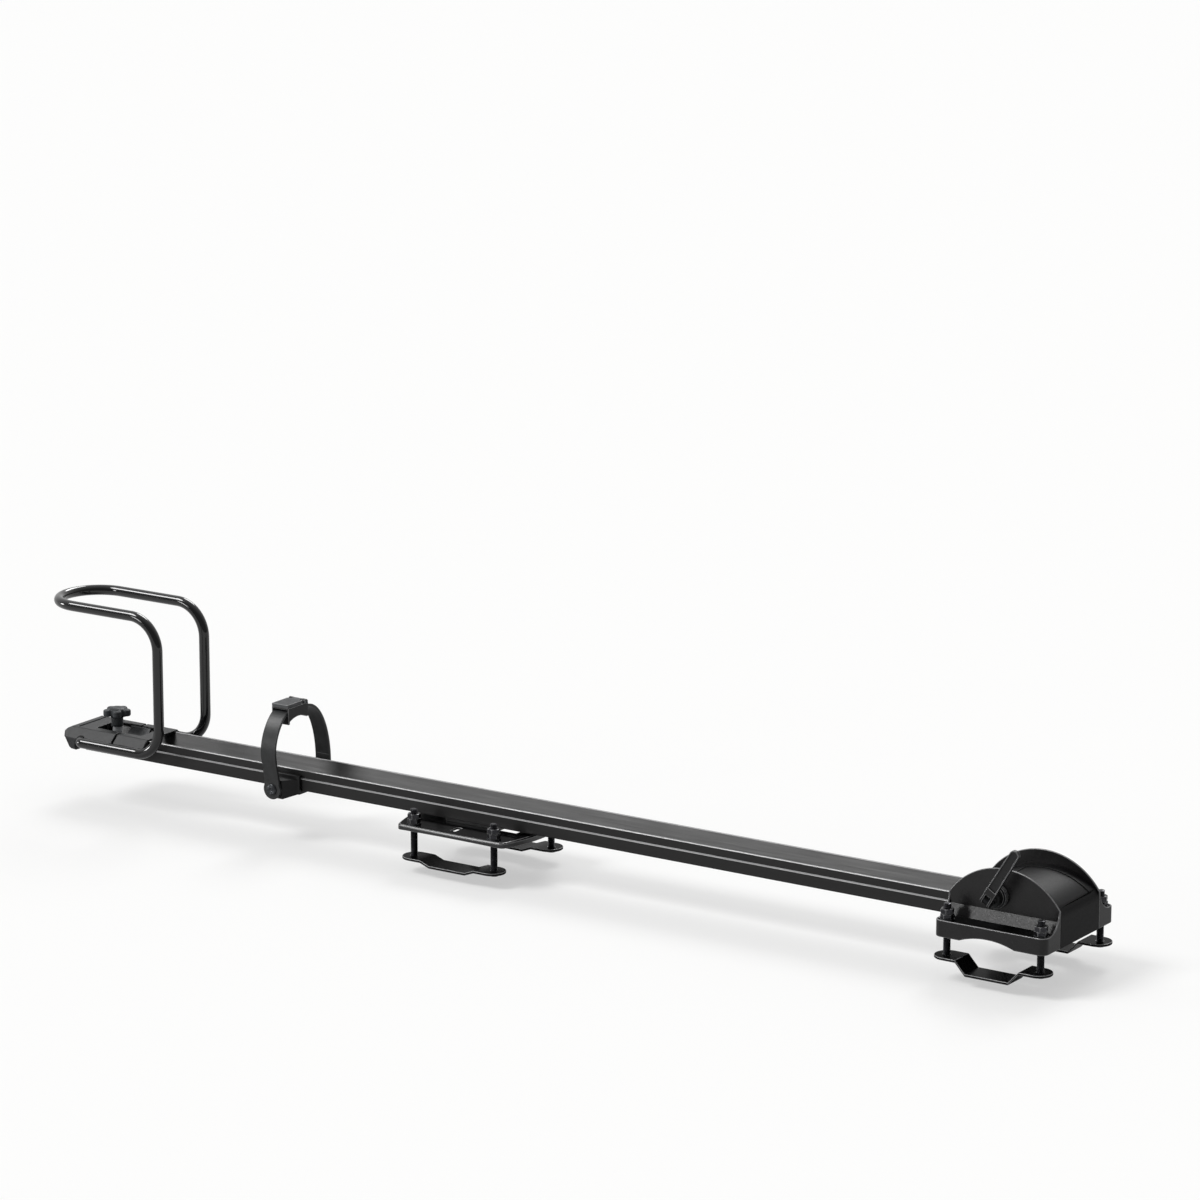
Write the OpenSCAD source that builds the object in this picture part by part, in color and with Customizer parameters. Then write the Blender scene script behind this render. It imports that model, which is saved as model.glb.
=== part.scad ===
// Roof mounted bike carrier, sizes in millimetres.
// X runs along the rail towards the head, Y runs across it and Z is up.
// The origin is the middle of the head's seat on the front crossbar.

/* [Rail] */
// Length of the extruded wheel rail
rail_length = 1210; // [1000:1:1300]
// Width of the rail over its lower ledges
rail_width = 55; // [52:0.5:58]
// Height of the rail
rail_height = 24.5; // [23:0.5:26]
// Wall thickness of the extrusion
rail_wall = 2; // [1.6:0.1:2.4]
// Depth of the wheel trough
trough_depth = 14; // [12:0.5:14.5]
// Width of the flat floor of the wheel trough
trough_floor = 22; // [18:0.5:24]
// Width of the fixing slot's mouth under the rail
slot_mouth = 9; // [8:0.1:11]

/* [Crossbar seats] */
// Distance between the two crossbars
bar_spacing = 688; // [600:1:760]
// Height of the rail's underside above the crossbar seats
rail_lift = 9; // [9:0.5:12]
// Height from the crossbar seat down to the lower straps
bar_height = 34.5; // [33:0.5:40]
// Diameter of the clamp bolts
bolt_d = 8; // [6:0.5:9]

/* [Head] */
// Length of the head along the rail
head_length = 132; // [128:0.5:140]
// Radius of the half-disc side plates
disc_radius = 79.5; // [76:0.5:84]
// Width over the two half-disc side plates
disc_track = 86.8; // [84:0.2:90]
// Width over the two outer tray walls
tray_width = 149; // [146:0.5:156]
// Sheet thickness of the side plates
sheet = 2; // [1.5:0.1:2.4]
// Clearance between the head's clamp washers and the tray walls
wall_gap = 0.5; // [0.2:0.1:2]

/* [Fork axle] */
// Distance between the dropout faces of the fork
fork_width = 100; // [98:0.5:104]
// Gap left for each fork dropout
dropout_gap = 5.5; // [5:0.1:8]
// Height of the axle above the crossbar seat
axle_height = 44.5; // [41:0.5:47]
// Diameter of the axle stubs that the dropouts sit on
stub_d = 9; // [8:0.1:9.5]
// Length of the quick release lever
lever_length = 69; // [60:1:78]
// Lean of the closed lever from upright, in degrees
lever_lean = 31; // [10:1:35]

/* [Rear clamp] */
// Distance between the rear clamp bolts along the rail
rear_bolt_span = 108; // [100:0.5:116]
// Distance between the rear clamp bolts across the rail
rear_bolt_track = 112; // [108:0.5:116]
// Length of the rear plate on its middle line
plate_length = 166; // [160:1:176]
// Width of the rear plate
plate_width = 134; // [132:1:142]
// Thickness of the rear plate
plate_thick = 2.5; // [2:0.1:3]

/* [Wheel hoop] */
// Diameter of the hoop rod
rod_d = 12; // [10:0.5:12.5]
// Distance between the two hoop legs
hoop_track = 86.8; // [84:0.2:92]
// Height from the lower run to the upper run of the hoop
hoop_height = 163; // [130:1:190]
// Bend radius at the foot of each hoop leg
foot_bend = 34; // [28:1:38]
// Bend radius at the top of each hoop leg
top_bend = 38; // [30:1:42]
// Distance from the rail's end to the hoop legs
leg_offset = 123; // [120:1:140]

/* [Hoop holder and knob] */
// Wall thickness of the holder over the rail
holder_wall = 1.6; // [1.2:0.1:2]
// Distance the holder may be pulled out from the rail
pull_out = 16; // [8:1:16]
// Distance the holder may be pushed in along the rail
push_in = 10; // [4:1:10]
// Diameter of the star knob over its lobes
knob_d = 33; // [30:0.5:40]
// Diameter of the knob bolt
knob_bolt_d = 8; // [6:0.5:8]

/* [Wheel strap] */
// Distance from the rail's end to the wheel strap
strap_offset = 289.5; // [270:0.5:330]
// Width of the strap band
strap_width = 20; // [16:0.5:22]
// Thickness of the strap band
strap_thick = 3; // [2:0.1:3.2]
// Height of the strap's top band over its rivets
strap_rise = 88; // [80:1:100]
// Distance between the strap's rivet planes
strap_track = 96; // [94:0.5:104]
// Diameter of the strap rivets
rivet_d = 6; // [4:0.5:7]

/* [Hidden] */
$fn = 64;

// Clearances between pieces that move on each other
slide_gap = 0.3;
pin_gap = 0.08;

// Rail heights and half widths
rail_bottom = rail_lift;
rail_top = rail_bottom + rail_height;
low_half = rail_width / 2;
up_half = low_half - 1.5;
ledge_top = rail_bottom + 15;
floor_top = rail_top - trough_depth;
floor_under = floor_top - rail_wall;
cavity_half = 9.5;
cavity_bottom = rail_bottom + rail_wall;
axle_x = -8;
rail_front = axle_x - 16;
rail_back = rail_front - rail_length;

// Head faces
head_front = head_length / 2;
disc_y = disc_track / 2;
disc_z = -5;
tray_y = tray_width / 2;
tray_top = 17.4;
tray_bottom = -1;
tray_floor = 15.5;
band_top = 28;
corner_r = 8;
tray_arch_r = 91;
tray_arch_rise = 6;
base_thick = 3;
base_top_side = tray_floor - sheet;
pad_top = rail_bottom - base_thick;
cover_gap = 14.5;
cover_radius = 88;
cover_x = 8;
cover_top = disc_z + disc_radius - cover_gap;
cover_thick = 2;
cover_bend = 16;

// Fork axle faces along Y and the lever's cam
collar_y = fork_width / 2;
washer_y = collar_y + dropout_gap;
washer_thick = 2.2;
cam_r = 6;
cam_offset = 1;
cam_y = washer_y + washer_thick + slide_gap + cam_r + cam_offset;
skewer_d = 5;
cam_pin_d = 4;
eye_half = 3.2;
lever_cheek = 2.6;
lever_half = eye_half + slide_gap + lever_cheek;
lever_tip_r = 5.5;
lever_rim = 1.3;
collar_r = 13;
collar_groove = 2.2;
tube_d = stub_d + 3.5;

// Clamp hardware
washer_d = 2 * bolt_d;
head_bolt_span = head_length - 2 * (sheet + washer_d / 2 + wall_gap);
head_bolt_track = tray_width - 2 * (sheet + washer_d / 2 + wall_gap);
band_room = 9;
band_y = max(disc_y + 2, (head_bolt_track - washer_d) / 2 - band_room);
front_stand = 18.5;
rear_stand = 18;
rear_far_stand = rear_stand - 2.5;
nut_af = bolt_d + 5;
nut_high = 0.7 * bolt_d;
ring_high = 1.6;
bolt_hole = bolt_d + 2 * slide_gap;
strap_sheet = 3;
strap_half = 15;
dip_top = -bar_height;
front_foot = dip_top + 13;
rear_foot = dip_top + 4.5;
plate_top = rail_bottom - 3.5;
plate_arch_r = 1800;
plate_arch_top = 0.5;
plate_side_bow = 1150;
pad_wide = 56;
front_pad_long = 78;
rear_pad_long = 60;
spacer_long = 70;
spacer_wide = 50;
slot_across = 15;
screw_d = 6;

// Hoop and holder positions along X
knob_x = rail_back + 26.5;
holder_reach = 93.5;
nose_reach = 26.5;
holder_front = rail_back + holder_reach;
holder_seam = rail_back - 6;
nose_x = rail_back - nose_reach;
hoop_y = hoop_track / 2;
hoop_z = rail_bottom + 13;
leg_x = rail_back + leg_offset;
hook_x = rail_back + 2;
hook_bend = 8;
upper_z = hoop_z + hoop_height;
skirt_y = hoop_y - 3.9;
shell_top = rail_top + slide_gap + holder_wall;
opening_half = 18;
slit_x = rail_back + 48;
slit_wide = 2.6;
tongue_half = trough_floor / 2 - 0.7;
tongue_top = floor_top + 3.5;
sleeve_top = rail_top + 2.5;
hub_bottom = sleeve_top + slide_gap;
knob_high = 22.2;
knob_hub_d = 14;
insert_d = knob_bolt_d + 2.6;

// Strap frame
strap_x = rail_back + strap_offset;
rivet_z = rail_bottom + 3;
arm_y = strap_track / 2;
band_z = rivet_z + strap_rise;
disc_thick = 4;
ear_y = arm_y - disc_thick / 2 - 0.5;
buckle_near = -32;
buckle_far = 5;
buckle_arch_r = 34;
buckle_roof = band_z + strap_thick / 2 + 2.7;
knuckle_r = 3.2;
lever_pin_y = 1.5;
lever_pin_z = band_z + strap_thick / 2 + slide_gap + knuckle_r;

// Shared shapes

// An outline in Y and Z, drawn out along X between two stations
module along_x(from, to) {
    translate([from, 0, 0]) rotate([90, 0, 90]) linear_extrude(to - from) children();
}

// An outline in X and Z, drawn out along Y between two stations
module along_y(from, to) {
    translate([0, to, 0]) rotate([90, 0, 0]) linear_extrude(to - from) children();
}

// A round bar along Y
module bar_y(x, z, from, to, d) {
    translate([x, from, z]) rotate([-90, 0, 0]) cylinder(d = d, h = to - from);
}

// A round bar along Z
module bar_z(x, y, from, to, d) {
    translate([x, y, from]) cylinder(d = d, h = to - from);
}

// A block between two opposite corners
module block(a, b) {
    translate(a) cube(b - a);
}

// A rectangle about the origin with round corners
module round_rect(w, h, r) {
    square([w, h - 2 * r], center = true);
    square([w - 2 * r, h], center = true);
    for (sx = [-1, 1], sy = [-1, 1])
        translate([sx * (w / 2 - r), sy * (h / 2 - r)]) circle(r);
}

// The same piece on the far side
module far_side() {
    mirror([0, 1, 0]) children();
}

// Points of an arc
function arc(c, r, a0, a1, n) = [for (i = [0:n]) c + r * [cos(a0 + (a1 - a0) * i / n), sin(a0 + (a1 - a0) * i / n)]];

// A half outline with its mirror image in the second axis
function both_halves(p) = concat(p, [for (i = [len(p) - 1:-1:0]) [-p[i][0], p[i][1]]]);

// Unit normal of a path at one of its points
function normal(p, i) =
    let (a = p[max(i - 1, 0)], b = p[min(i + 1, len(p) - 1)], d = b - a)
    [-d[1], d[0]] / norm(d);

// A band of one thickness on both sides of a path
module band(p, t) {
    upper = [for (i = [0:len(p) - 1]) p[i] + normal(p, i) * t / 2];
    lower = [for (i = [len(p) - 1:-1:0]) p[i] - normal(p, i) * t / 2];
    polygon(concat(upper, lower));
}

// Rail

// Outer outline of the rail with its trough, right half
rail_half = [
    [low_half - 1, rail_bottom], [low_half, rail_bottom + 1], [low_half, ledge_top - 0.8],
    [low_half - 0.8, ledge_top], [up_half, ledge_top], [up_half, rail_top - 1.2],
    [up_half - 0.4, rail_top - 0.4], [up_half - 1.2, rail_top], [up_half - 2.6, rail_top],
    [up_half - 3.2, rail_top - 0.6], [trough_floor / 2, floor_top]
];

// One hollow side chamber of the rail
chamber = [
    [cavity_half + rail_wall, cavity_bottom], [low_half - rail_wall, cavity_bottom],
    [low_half - rail_wall, ledge_top - rail_wall], [up_half - rail_wall, ledge_top - rail_wall],
    [up_half - rail_wall, rail_top - 5], [trough_floor / 2 + 2, floor_under],
    [cavity_half + rail_wall, floor_under]
];

module rail() {
    color("#2b2c2e") difference() {
        along_x(rail_back, rail_front) difference() {
            polygon(both_halves(rail_half));
            polygon(chamber);
            mirror([1, 0]) polygon(chamber);
            translate([-cavity_half, cavity_bottom]) square([2 * cavity_half, floor_under - cavity_bottom]);
            translate([-slot_mouth / 2, rail_bottom - 1]) square([slot_mouth, rail_wall + 2]);
        }
        block([knob_x - pull_out - knob_bolt_d / 2 - 1, -knob_bolt_d / 2 - 0.5, floor_under - 1],
              [knob_x + push_in + knob_bolt_d / 2 + 1, knob_bolt_d / 2 + 0.5, floor_top + 1]);
    }
}

// Slot nuts and screws that hold the rail down
slot_stations = [-54, -36, -bar_spacing - 20, -bar_spacing + 20];
function screw_seat(i) = i < 2 ? pad_top : plate_top - plate_thick;

module slot_nuts() {
    color("#8a8d90") for (x = slot_stations) difference() {
        block([x - 8, -8.5, cavity_bottom], [x + 8, 8.5, cavity_bottom + 4]);
        bar_z(x, 0, cavity_bottom - 1, cavity_bottom + 5, screw_d);
    }
}

module slot_screws() {
    color("#8a8d90") for (i = [0:3]) {
        bar_z(slot_stations[i], 0, screw_seat(i) + 1, cavity_bottom + 4, screw_d);
        translate([slot_stations[i], 0, screw_seat(i)]) cylinder(d1 = 11, d2 = screw_d, h = 2.5);
    }
}

// Countersunk holes for the slot screws in a plate
module screw_holes(from, to) {
    for (i = [from:to]) {
        bar_z(slot_stations[i], 0, screw_seat(i) - 1, rail_bottom + 1, screw_d + 0.4);
        translate([slot_stations[i], 0, screw_seat(i) - 0.01]) cylinder(d1 = 11.4, d2 = screw_d + 0.4, h = 2.5);
    }
}

// Head

// Holes for the head's four clamp bolts
module head_bolt_holes() {
    for (sx = [-1, 1], sy = [-1, 1])
        bar_z(sx * head_bolt_span / 2, sy * head_bolt_track / 2, pad_top - 5, tray_floor + 5, bolt_hole);
}

base_half = [
    [30, pad_top], [33, base_top_side - base_thick], [tray_y - sheet, base_top_side - base_thick],
    [tray_y - sheet, base_top_side], [32, base_top_side], [29, rail_bottom]
];

module head_base() {
    color("#2a2a2a") difference() {
        union() {
            along_x(-head_front + sheet + corner_r, head_front - sheet - corner_r) polygon(both_halves(base_half));
            // Round ears under the washers
            for (sx = [-1, 1], sy = [-1, 1])
                translate([sx * head_bolt_span / 2, sy * head_bolt_track / 2, base_top_side - base_thick])
                    linear_extrude(base_thick) circle(washer_d / 2 - 0.1);
        }
        screw_holes(0, 1);
        head_bolt_holes();
    }
}

// Plan of the near tray, grown inwards by a wall
module tray_plan(wall) {
    x = head_front - wall;
    y = tray_y - wall;
    r = corner_r - wall;
    translate([-x, -y + r]) square([2 * x, y - r - disc_y + sheet]);
    translate([-x + r, -y]) square([2 * (x - r), r + 1]);
    for (sx = [-1, 1]) translate([sx * (x - r), -y + r]) circle(r);
}

module head_side() {
    flare = 22;
    difference() {
        union() {
            // Outer walls of the tray and its floor
            translate([0, 0, tray_bottom]) linear_extrude(tray_top - tray_bottom) difference() {
                tray_plan(0);
                tray_plan(sheet);
            }
            translate([0, 0, tray_floor - sheet]) linear_extrude(sheet) difference() {
                tray_plan(sheet);
                translate([-head_length, -band_y + 2]) square([2 * head_length, tray_y]);
            }
            // Sloping band up to the half-disc
            along_x(-head_front, head_front) polygon([
                [-disc_y, band_top], [-band_y, tray_floor], [-band_y + 1, tray_floor - sheet],
                [-band_y + 2.4, tray_floor - sheet], [-disc_y + sheet, band_top]
            ]);
            // Half-disc panel
            along_y(-disc_y, -disc_y + sheet) intersection() {
                translate([0, disc_z]) circle(disc_radius, $fn = 128);
                translate([-head_front, band_top - 1]) square([head_length, disc_radius]);
            }
            // End walls with the round run from the disc out to the rim
            for (x = [-head_front, head_front - sheet]) along_x(x, x + sheet) difference() {
                translate([-disc_y - flare, tray_bottom]) square([flare + sheet, tray_top + flare - tray_bottom]);
                translate([-disc_y - flare, tray_top + flare]) circle(flare);
            }
        }
        // Shallow arch over the crossbar
        along_y(-tray_y - 1, -tray_y + sheet + 0.5)
            translate([-3, tray_bottom + tray_arch_rise - tray_arch_r]) circle(tray_arch_r, $fn = 128);
        head_bolt_holes();
        bar_y(axle_x, axle_height, -disc_y - 1, -disc_y + sheet + 1, tube_d + 0.2);
        // Way in for the rail's inner end between the end walls
        block([-head_front - 1, -low_half - 0.5, 0], [-head_front + sheet + 1, 0, rail_top + 0.5]);
    }
}

module head_side_near() {
    color("#333333") head_side();
}

module head_side_far() {
    color("#333333") far_side() head_side();
}

// Outline of the cover in X and Z, moved inwards by an inset
function cover_path(inset) =
    let (r = cover_radius - inset, zc = cover_top - cover_radius, x = head_front - inset, b = cover_bend - inset,
         far = r - b, cx = x - b - cover_x, a = acos(cx / far), back = acos((-head_front + sheet - cover_x) / r))
    concat(
        [[x, tray_bottom]],
        arc([x - b, zc + far * sin(a)], b, 0, a, 8),
        arc([cover_x, zc], r, a, back, 24)
    );

module head_cover() {
    half = disc_y - sheet;
    outer = cover_path(0);
    inner = cover_path(cover_thick);
    inset = cover_path(0.8);
    color("#2c2c2c") difference() {
        along_y(-half, half) polygon(concat(outer, [for (i = [len(inner) - 1:-1:0]) inner[i]]));
        // Inset panel
        along_y(-half + 14, half - 14) intersection() {
            polygon(concat(outer, [for (i = [len(inset) - 1:-1:0]) inset[i]]));
            translate([-14, cover_top - 24]) square([head_front - 4 + 14, 30]);
        }
        // Opening for the rail
        block([-head_front, -low_half - 0.5, 0], [rail_front, low_half + 0.5, rail_top + 0.5]);
        block([-head_front - 1, -half - 1, 0], [-head_front + sheet + 2, half + 1, disc_radius]);
    }
}

module head_rear_plate() {
    half = disc_y - sheet;
    color("#2c2c2c") along_x(-head_front + sheet, -head_front + 2 * sheet) difference() {
        translate([-half, base_top_side]) square([2 * half, rail_top + 2 - base_top_side]);
        translate([-low_half - 0.5, 0]) square([rail_width + 1, rail_top + 0.5]);
    }
}

module front_pad() {
    color("#1c1c1c") linear_extrude(pad_top) round_rect(front_pad_long, pad_wide, 6);
}

// Fork axle

module axle_tube() {
    stub = washer_y - cam_offset - 0.5;
    color("#77797c") difference() {
        union() {
            bar_y(axle_x, axle_height, -collar_y + 0.5, collar_y - 0.5, tube_d);
            bar_y(axle_x, axle_height, -stub, stub, stub_d);
        }
        bar_y(axle_x, axle_height, -stub - 1, stub + 1, skewer_d + 0.4);
    }
}

module collar() {
    ribs = 3;
    high = collar_y - disc_y;
    pitch = high / ribs;
    difference() {
        translate([axle_x, -disc_y, axle_height]) rotate([90, 0, 0]) difference() {
            union() {
                cylinder(r = collar_r - collar_groove, h = high);
                for (i = [0:ribs - 1]) translate([0, 0, i * pitch]) cylinder(r = collar_r, h = 0.55 * pitch);
            }
            translate([0, 0, -1]) cylinder(d = tube_d + 0.1, h = high + 0.5);
            translate([0, 0, -1]) cylinder(d = stub_d + 0.1, h = high + 2);
        }
        // Chamfer over the sloping band of the side plate
        along_x(-head_front, head_front)
            polygon([[1 - disc_y, band_top + 0.2], [-disc_y, band_top + 0.2], [-band_y, tray_floor + 0.2], [1 - disc_y, tray_floor]]);
    }
}

module dropout_collars() {
    color("#3a3a3c") collar();
    color("#3a3a3c") far_side() collar();
}

module skewer_rod() {
    color("#8a8d90") {
        bar_y(axle_x, axle_height, -cam_y + 3.2, washer_y + 16, skewer_d);
        translate([axle_x, -cam_y, axle_height]) rotate([0, lever_lean, 0]) rotate([0, 90, 0]) difference() {
            translate([0, 0, -eye_half]) cylinder(d = 9, h = 2 * eye_half);
            translate([0, 0, -10]) cylinder(d = cam_pin_d + 0.02, h = 20);
        }
    }
}

module cam_pin() {
    color("#8a8d90") translate([axle_x, -cam_y, axle_height]) rotate([0, lever_lean, 0]) rotate([0, 90, 0])
        translate([0, 0, -lever_half - 0.6]) cylinder(d = cam_pin_d, h = 2 * lever_half + 1.2);
}

module cam_washer() {
    color("#606264") difference() {
        bar_y(axle_x, axle_height, -washer_y - washer_thick, -washer_y, 20);
        bar_y(axle_x, axle_height, -washer_y - 5, -washer_y + 1, skewer_d + 0.2);
    }
}

// The lever, drawn with its hinge along X and its grip along Z
module lever_shape() {
    cheek = lever_cheek;
    inside = eye_half + slide_gap;
    outside = lever_half;
    neck = 10;
    tip_r = lever_tip_r;
    rim = lever_rim;
    difference() {
        union() {
            for (s = [-1, 1]) translate([s * (inside + cheek / 2) - cheek / 2, cam_offset, 0])
                rotate([0, 90, 0]) cylinder(r = cam_r, h = cheek);
            for (s = [-1, 1]) block([s > 0 ? inside : -outside, -5, 0], [s > 0 ? outside : -inside, 0, neck]);
            block([-outside, -5, 7], [outside, 0, neck + 4]);
            translate([0, 0, 0]) rotate([90, 0, 0]) linear_extrude(5) {
                polygon([[-outside, neck], [outside, neck], [tip_r, lever_length - tip_r], [-tip_r, lever_length - tip_r]]);
                translate([0, lever_length - tip_r]) circle(tip_r);
            }
        }
        translate([-20, 0, 0]) rotate([0, 90, 0]) cylinder(d = cam_pin_d + 2 * pin_gap, h = 40);
        // Hollow outer face inside the rim of the grip
        translate([0, -3.4, 0]) rotate([90, 0, 0]) linear_extrude(3) {
            polygon([
                [rim - outside, neck + 5], [outside - rim, neck + 5],
                [tip_r - rim, lever_length - tip_r], [rim - tip_r, lever_length - tip_r]
            ]);
            translate([0, lever_length - tip_r]) circle(tip_r - rim);
        }
    }
}

module quick_lever() {
    color("#242426") translate([axle_x, -cam_y, axle_height]) rotate([0, lever_lean, 0]) lever_shape();
}

module skewer_nut() {
    color("#3a3a3c") difference() {
        union() {
            bar_y(axle_x, axle_height, washer_y, washer_y + 3, 20);
            translate([axle_x, washer_y + 3, axle_height]) rotate([-90, 0, 0]) cylinder(d1 = 20, d2 = 13, h = 4);
            translate([axle_x, washer_y + 7, axle_height]) rotate([-90, 0, 0]) cylinder(d = 13, h = 6, $fn = 6);
        }
        bar_y(axle_x, axle_height, washer_y - 1, washer_y + 14, skewer_d + 2 * pin_gap);
    }
}

// Rear clamp

// Plan of the rear plate, bowed on all four sides, moved inwards by a wall
module plate_plan(wall) {
    bow = 174;
    intersection() {
        round_rect(plate_length - 2 * wall, plate_width - 2 * wall, 14 - wall);
        translate([plate_length / 2 - bow, 0]) circle(bow - wall, $fn = 128);
        translate([bow - plate_length / 2, 0]) circle(bow - wall, $fn = 128);
        translate([0, plate_width / 2 - plate_side_bow]) circle(plate_side_bow - wall, $fn = 512);
        translate([0, plate_side_bow - plate_width / 2]) circle(plate_side_bow - wall, $fn = 512);
    }
}

module rear_plate() {
    color("#151515") difference() {
        translate([-bar_spacing, 0, 0]) {
            translate([0, 0, plate_top - plate_thick]) linear_extrude(plate_thick) plate_plan(0);
            difference() {
                translate([0, 0, -2.5]) linear_extrude(plate_top + 2.5) difference() {
                    plate_plan(0);
                    plate_plan(plate_thick);
                }
                // Shallow arch over the crossbar
                along_y(-plate_width, plate_width)
                    translate([0, plate_arch_top - plate_arch_r]) circle(plate_arch_r, $fn = 512);
            }
        }
        for (sx = [-1, 1], sy = [-1, 1])
            bar_z(sx * rear_bolt_span / 2 - bar_spacing, sy * rear_bolt_track / 2, -5, plate_top + 5, bolt_hole);
        // Slots beside the rail and under its edges
        for (sy = [-1, 1]) translate([-bar_spacing, 0, -5]) linear_extrude(20) {
            translate([-3, sy * 47]) round_rect(7.2, slot_across, 1.5);
            translate([47.5, sy * 15.5]) round_rect(27, slot_across, 1.5);
        }
        screw_holes(2, 3);
    }
}

module rear_pad() {
    color("#1c1c1c") translate([-bar_spacing, 0, 0]) linear_extrude(plate_top - plate_thick) round_rect(rear_pad_long, pad_wide, 6);
}

module rear_spacer() {
    color("#202020") difference() {
        translate([-bar_spacing, 0, plate_top]) linear_extrude(rail_bottom - plate_top) round_rect(spacer_long, spacer_wide, 4);
        for (i = [2:3]) bar_z(slot_stations[i], 0, plate_top - 1, rail_bottom + 1, screw_d + 0.4);
    }
}

// Clamp bolts, nuts, washers and lower straps

// Puts a piece at each of the eight clamp bolts, at the height its washer lies on
module at_bolts() {
    for (sx = [-1, 1], sy = [-1, 1]) {
        translate([sx * head_bolt_span / 2, sy * head_bolt_track / 2, tray_floor]) children();
        translate([sx * rear_bolt_span / 2 - bar_spacing, sy * rear_bolt_track / 2, plate_top]) children();
    }
}

module clamp_washers() {
    color("#2e2e30") at_bolts() difference() {
        cylinder(d = washer_d, h = ring_high);
        translate([0, 0, -1]) cylinder(d = bolt_hole, h = ring_high + 2);
    }
}

module hexagon_nut() {
    difference() {
        cylinder(d = nut_af / cos(30), h = nut_high, $fn = 6);
        translate([0, 0, -1]) cylinder(d = bolt_hole, h = nut_high + 2);
    }
}

module clamp_nuts() {
    color("#2e2e30") at_bolts() translate([0, 0, ring_high]) hexagon_nut();
}

// The second nut on each bolt, which locks the first
module lock_nuts() {
    color("#2e2e30") at_bolts() translate([0, 0, ring_high + nut_high]) rotate(18) hexagon_nut();
}

// One lower strap with its middle under the crossbar at x = 0, near side
module lower_strap(span, track, foot) {
    flat = span / 2 - 18;
    slope = 12;
    end = span / 2 + 13;
    half = [[end, foot], [flat, foot], [flat - slope, dip_top]];
    top = both_halves(half);
    difference() {
        intersection() {
            along_y(-track / 2 - strap_half, -track / 2 + strap_half) polygon(concat(
                top, [for (i = [len(top) - 1:-1:0]) top[i] - [0, strap_sheet]]
            ));
            translate([0, -track / 2, dip_top - strap_half]) linear_extrude(4 * strap_half) {
                square([2 * (end - strap_half), 2 * strap_half], center = true);
                for (sx = [-1, 1]) translate([sx * (end - strap_half), 0]) circle(strap_half);
            }
        }
        for (sx = [-1, 1]) bar_z(sx * span / 2, -track / 2, foot - 20, foot + 5, bolt_d + 0.2);
    }
}

// Two bolts of one lower strap, near side
module strap_bolts(span, track, foot, top) {
    for (sx = [-1, 1]) {
        bar_z(sx * span / 2, -track / 2, foot - strap_sheet - 1, top, bolt_d);
        bar_z(sx * span / 2, -track / 2, foot - strap_sheet - 3.6, foot - strap_sheet, 1.9 * bolt_d);
    }
}

front_bolt_top = tray_floor + front_stand;
rear_bolt_top = plate_top + rear_stand;
rear_far_top = plate_top + rear_far_stand;

module front_near_strap() {
    color("#1f1f20") lower_strap(head_bolt_span, head_bolt_track, front_foot);
}

module front_far_strap() {
    color("#1f1f20") far_side() lower_strap(head_bolt_span, head_bolt_track, front_foot);
}

module front_near_bolts() {
    color("#2e2e30") strap_bolts(head_bolt_span, head_bolt_track, front_foot, front_bolt_top);
}

module front_far_bolts() {
    color("#2e2e30") far_side() strap_bolts(head_bolt_span, head_bolt_track, front_foot, front_bolt_top);
}

module rear_near_strap() {
    color("#1f1f20") translate([-bar_spacing, 0, 0]) lower_strap(rear_bolt_span, rear_bolt_track, rear_foot);
}

module rear_far_strap() {
    color("#1f1f20") translate([-bar_spacing, 0, 0]) far_side() lower_strap(rear_bolt_span, rear_bolt_track, rear_foot);
}

module rear_near_bolts() {
    color("#2e2e30") translate([-bar_spacing, 0, 0]) strap_bolts(rear_bolt_span, rear_bolt_track, rear_foot, rear_bolt_top);
}

module rear_far_bolts() {
    color("#2e2e30") translate([-bar_spacing, 0, 0]) far_side() strap_bolts(rear_bolt_span, rear_bolt_track, rear_foot, rear_far_top);
}

// Wheel hoop

// A bend of the hoop rod about Y, from one angle over another
module bend_xz(x, z, r, from, sweep, d) {
    translate([x, 0, z]) rotate([90, 0, 0]) rotate([0, 0, from]) rotate_extrude(angle = sweep)
        translate([r, 0]) circle(d = d);
}

// A bend of the hoop rod about Z
module bend_xy(x, y, z, r, from, sweep, d) {
    translate([x, y, z]) rotate([0, 0, from]) rotate_extrude(angle = sweep) translate([r, 0]) circle(d = d);
}

// A straight run of the hoop rod along X
module run_x(from, to, y, z, d) {
    translate([from, y, z]) rotate([0, 90, 0]) cylinder(d = d, h = to - from);
}

// The near half of the hoop rod
module hoop_half(d) {
    y = -hoop_y;
    // Hooked end in the holder
    bar_y(hook_x, hoop_z, y + hook_bend, -low_half - 2, d);
    bend_xy(hook_x + hook_bend, y + hook_bend, hoop_z, hook_bend, 180, 90, d);
    // Lower run, leg and upper run
    run_x(hook_x + hook_bend, leg_x - foot_bend, y, hoop_z, d);
    translate([0, y, 0]) bend_xz(leg_x - foot_bend, hoop_z + foot_bend, foot_bend, -90, 90, d);
    bar_z(leg_x, y, hoop_z + foot_bend, upper_z - top_bend, d);
    translate([0, y, 0]) bend_xz(leg_x - top_bend, upper_z - top_bend, top_bend, 0, 90, d);
    run_x(rail_back, leg_x - top_bend, y, upper_z, d);
}

module wheel_hoop() {
    color("#101010") {
        hoop_half(rod_d);
        far_side() hoop_half(rod_d);
        bend_xy(rail_back, 0, upper_z, hoop_y, 90, 180, rod_d);
    }
}

// Hoop holder

// Outer outline of the holder in Y and Z, right half
holder_half = [
    [skirt_y - 2, hoop_z - 6], [skirt_y, hoop_z + 0.5], [skirt_y, hoop_z + 3],
    [up_half + slide_gap + holder_wall + 1, shell_top - 1], [up_half + slide_gap + holder_wall, shell_top]
];

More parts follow.
